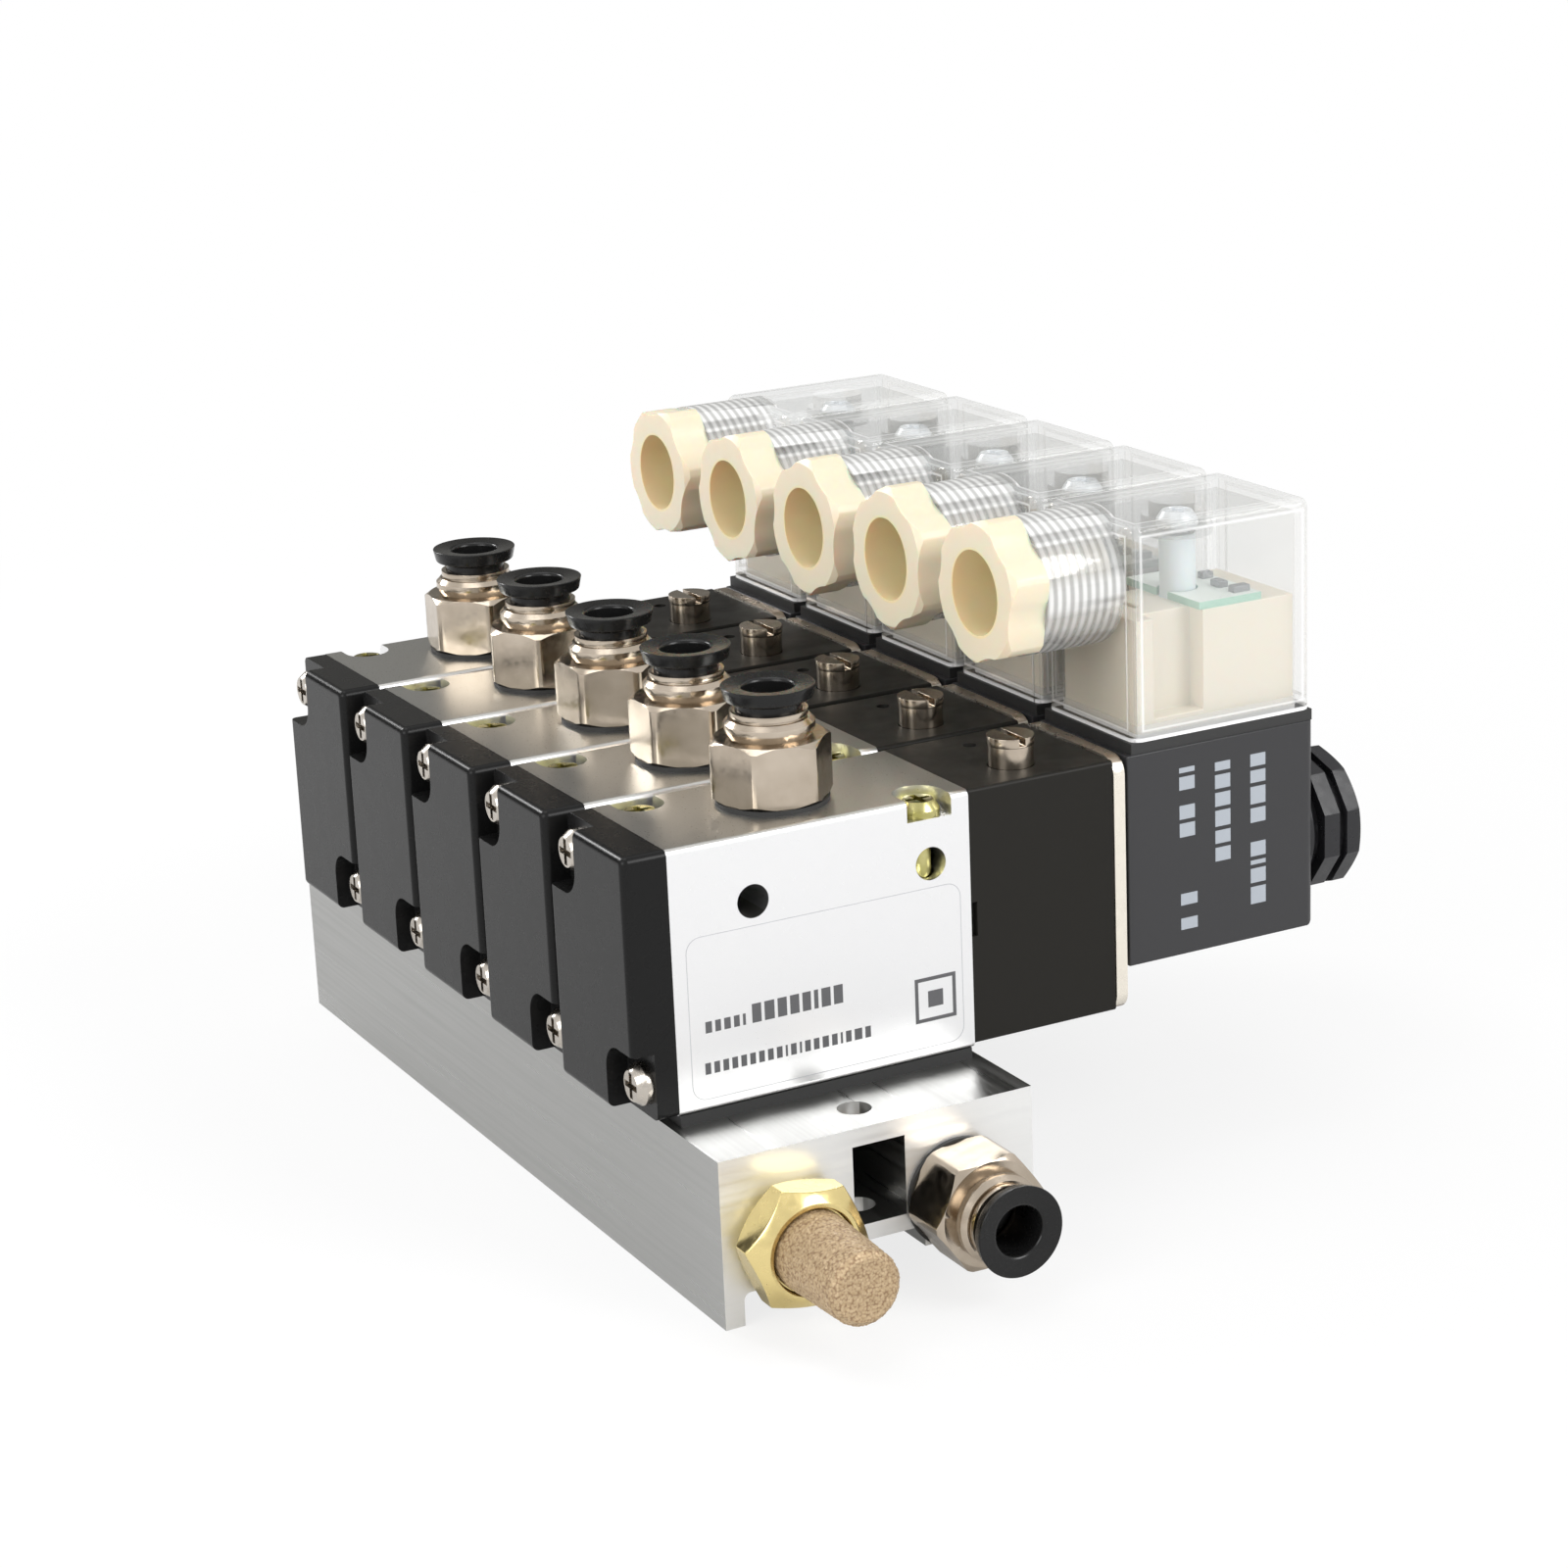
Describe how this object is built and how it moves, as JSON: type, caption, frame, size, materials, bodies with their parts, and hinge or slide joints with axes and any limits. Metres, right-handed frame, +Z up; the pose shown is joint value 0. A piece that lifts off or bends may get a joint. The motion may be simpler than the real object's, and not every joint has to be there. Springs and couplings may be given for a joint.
{
  "type": "pneumatic valve island",
  "caption": "Row of small black-capped solenoid air valves on one aluminium manifold rail, with clear plug connectors, push-in tube fittings and a sintered silencer.",
  "frame": {"origin": "middle of the manifold rail's footprint, on the plane of its feet", "axes": "+Z up, +X from the end caps to the coils, -Y towards the end that carries the supply fitting"},
  "size_m": [0.1115, 0.1575, 0.0903],
  "materials": {
    "rail_aluminium": "brushed extruded aluminium",
    "body_aluminium": "satin silver aluminium",
    "coil_resin": "dark grey moulded resin",
    "spool_metal": "turned aluminium",
    "steel": "plain steel",
    "nickel_brass": "nickel-plated brass",
    "rubber": "black nitrile rubber",
    "black_acetal": "black moulded plastic",
    "cap_plastic": "black satin plastic",
    "pilot_plastic": "black matt plastic",
    "nickel_plate": "nickel-plated steel sheet",
    "nut_plastic": "black plastic",
    "clear_plastic": "clear moulded plastic",
    "cream_plastic": "cream moulded plastic",
    "board": "small green circuit board",
    "cream_nylon": "cream nylon",
    "grommet_rubber": "tan rubber",
    "nickel_screw": "nickel-plated steel screws",
    "zinc_screw": "yellow-zinc-plated steel screws",
    "brass": "bright brass",
    "bronze": "sintered bronze"
  },
  "bodies": {
    "island": {"manifold": "rail_aluminium", "valve_body_1": "body_aluminium", "valve_body_2": "body_aluminium", "valve_body_3": "body_aluminium", "valve_body_4": "body_aluminium", "valve_body_5": "body_aluminium", "coil_1": "coil_resin", "coil_2": "coil_resin", "coil_3": "coil_resin", "coil_4": "coil_resin", "coil_5": "coil_resin", "valve_gaskets": "rubber", "end_caps": "cap_plastic", "pilot_blocks": "pilot_plastic", "retainer_plates": "nickel_plate", "armature_tubes": "steel", "coil_nuts": "nut_plastic", "connector_gaskets": "rubber", "connector_shells": "clear_plastic", "terminal_blocks": "cream_plastic", "led_boards": "board", "connector_screws": "steel", "gland_nuts": "cream_nylon", "gland_grommets": "grommet_rubber", "spool_springs": "steel", "armature_springs": "steel", "override_springs": "steel", "end_cap_screws": "nickel_screw", "rail_screws": "zinc_screw", "fitting_bodies": "nickel_brass", "seal_washers": "rubber", "tube_seals": "rubber", "silencer_base": "brass", "silencer_element": "bronze"},
    "spool_1": {"spool_1": "spool_metal"},
    "armature_1": {"armature_1": "steel"},
    "override_seal_1": {"override_seal_1": "rubber"},
    "override_button_1": {"override_button_1": "nickel_brass"},
    "collet_1": {"collet_1": "black_acetal"},
    "spool_2": {"spool_2": "spool_metal"},
    "armature_2": {"armature_2": "steel"},
    "override_seal_2": {"override_seal_2": "rubber"},
    "override_button_2": {"override_button_2": "nickel_brass"},
    "collet_2": {"collet_2": "black_acetal"},
    "spool_3": {"spool_3": "spool_metal"},
    "armature_3": {"armature_3": "steel"},
    "override_seal_3": {"override_seal_3": "rubber"},
    "override_button_3": {"override_button_3": "nickel_brass"},
    "collet_3": {"collet_3": "black_acetal"},
    "spool_4": {"spool_4": "spool_metal"},
    "armature_4": {"armature_4": "steel"},
    "override_seal_4": {"override_seal_4": "rubber"},
    "override_button_4": {"override_button_4": "nickel_brass"},
    "collet_4": {"collet_4": "black_acetal"},
    "spool_5": {"spool_5": "spool_metal"},
    "armature_5": {"armature_5": "steel"},
    "override_seal_5": {"override_seal_5": "rubber"},
    "override_button_5": {"override_button_5": "nickel_brass"},
    "collet_5": {"collet_5": "black_acetal"},
    "supply_collet": {"supply_collet": "black_acetal"}
  },
  "joints": [
    {"name": "spool_slide_1", "type": "slide", "parent": "island", "child": "spool_1", "axis": [-1, 0, 0], "range_m": [0, 0.0035], "stiffness_N_per_m": 900, "springref_m": -0.003, "deforming": ["spool_springs"]},
    {"name": "armature_slide_1", "type": "slide", "parent": "island", "child": "armature_1", "axis": [1, 0, 0], "range_m": [0, 0.001], "stiffness_N_per_m": 800, "springref_m": -0.002, "deforming": ["armature_springs"]},
    {"name": "override_press_1", "type": "slide", "parent": "island", "child": "override_seal_1", "axis": [0, 0, -1], "range_m": [0, 0.0015], "stiffness_N_per_m": 1200, "springref_m": -0.001, "deforming": ["override_springs"]},
    {"name": "override_turn_1", "type": "hinge", "parent": "override_seal_1", "child": "override_button_1", "pos_m": [0.0316, -0.0503, 0.05845], "axis": [0, 0, -1], "range_deg": [0, 90]},
    {"name": "collet_press_1", "type": "slide", "parent": "island", "child": "collet_1", "axis": [0, 0, -1], "range_m": [0, 0.001], "stiffness_N_per_m": 1500, "springref_m": -0.0005},
    {"name": "spool_slide_2", "type": "slide", "parent": "island", "child": "spool_2", "axis": [-1, 0, 0], "range_m": [0, 0.0035], "stiffness_N_per_m": 900, "springref_m": -0.003, "deforming": ["spool_springs"]},
    {"name": "armature_slide_2", "type": "slide", "parent": "island", "child": "armature_2", "axis": [1, 0, 0], "range_m": [0, 0.001], "stiffness_N_per_m": 800, "springref_m": -0.002, "deforming": ["armature_springs"]},
    {"name": "override_press_2", "type": "slide", "parent": "island", "child": "override_seal_2", "axis": [0, 0, -1], "range_m": [0, 0.0015], "stiffness_N_per_m": 1200, "springref_m": -0.001, "deforming": ["override_springs"]},
    {"name": "override_turn_2", "type": "hinge", "parent": "override_seal_2", "child": "override_button_2", "pos_m": [0.0316, -0.0273, 0.05845], "axis": [0, 0, -1], "range_deg": [0, 90]},
    {"name": "collet_press_2", "type": "slide", "parent": "island", "child": "collet_2", "axis": [0, 0, -1], "range_m": [0, 0.001], "stiffness_N_per_m": 1500, "springref_m": -0.0005},
    {"name": "spool_slide_3", "type": "slide", "parent": "island", "child": "spool_3", "axis": [-1, 0, 0], "range_m": [0, 0.0035], "stiffness_N_per_m": 900, "springref_m": -0.003, "deforming": ["spool_springs"]},
    {"name": "armature_slide_3", "type": "slide", "parent": "island", "child": "armature_3", "axis": [1, 0, 0], "range_m": [0, 0.001], "stiffness_N_per_m": 800, "springref_m": -0.002, "deforming": ["armature_springs"]},
    {"name": "override_press_3", "type": "slide", "parent": "island", "child": "override_seal_3", "axis": [0, 0, -1], "range_m": [0, 0.0015], "stiffness_N_per_m": 1200, "springref_m": -0.001, "deforming": ["override_springs"]},
    {"name": "override_turn_3", "type": "hinge", "parent": "override_seal_3", "child": "override_button_3", "pos_m": [0.0316, -0.0043, 0.05845], "axis": [0, 0, -1], "range_deg": [0, 90]},
    {"name": "collet_press_3", "type": "slide", "parent": "island", "child": "collet_3", "axis": [0, 0, -1], "range_m": [0, 0.001], "stiffness_N_per_m": 1500, "springref_m": -0.0005},
    {"name": "spool_slide_4", "type": "slide", "parent": "island", "child": "spool_4", "axis": [-1, 0, 0], "range_m": [0, 0.0035], "stiffness_N_per_m": 900, "springref_m": -0.003, "deforming": ["spool_springs"]},
    {"name": "armature_slide_4", "type": "slide", "parent": "island", "child": "armature_4", "axis": [1, 0, 0], "range_m": [0, 0.001], "stiffness_N_per_m": 800, "springref_m": -0.002, "deforming": ["armature_springs"]},
    {"name": "override_press_4", "type": "slide", "parent": "island", "child": "override_seal_4", "axis": [0, 0, -1], "range_m": [0, 0.0015], "stiffness_N_per_m": 1200, "springref_m": -0.001, "deforming": ["override_springs"]},
    {"name": "override_turn_4", "type": "hinge", "parent": "override_seal_4", "child": "override_button_4", "pos_m": [0.0316, 0.0187, 0.05845], "axis": [0, 0, -1], "range_deg": [0, 90]},
    {"name": "collet_press_4", "type": "slide", "parent": "island", "child": "collet_4", "axis": [0, 0, -1], "range_m": [0, 0.001], "stiffness_N_per_m": 1500, "springref_m": -0.0005},
    {"name": "spool_slide_5", "type": "slide", "parent": "island", "child": "spool_5", "axis": [-1, 0, 0], "range_m": [0, 0.0035], "stiffness_N_per_m": 900, "springref_m": -0.003, "deforming": ["spool_springs"]},
    {"name": "armature_slide_5", "type": "slide", "parent": "island", "child": "armature_5", "axis": [1, 0, 0], "range_m": [0, 0.001], "stiffness_N_per_m": 800, "springref_m": -0.002, "deforming": ["armature_springs"]},
    {"name": "override_press_5", "type": "slide", "parent": "island", "child": "override_seal_5", "axis": [0, 0, -1], "range_m": [0, 0.0015], "stiffness_N_per_m": 1200, "springref_m": -0.001, "deforming": ["override_springs"]},
    {"name": "override_turn_5", "type": "hinge", "parent": "override_seal_5", "child": "override_button_5", "pos_m": [0.0316, 0.0417, 0.05845], "axis": [0, 0, -1], "range_deg": [0, 90]},
    {"name": "collet_press_5", "type": "slide", "parent": "island", "child": "collet_5", "axis": [0, 0, -1], "range_m": [0, 0.001], "stiffness_N_per_m": 1500, "springref_m": -0.0005},
    {"name": "supply_collet_press", "type": "slide", "parent": "island", "child": "supply_collet", "axis": [0, 1, 0], "range_m": [0, 0.001], "stiffness_N_per_m": 1500, "springref_m": -0.0005}
  ]
}
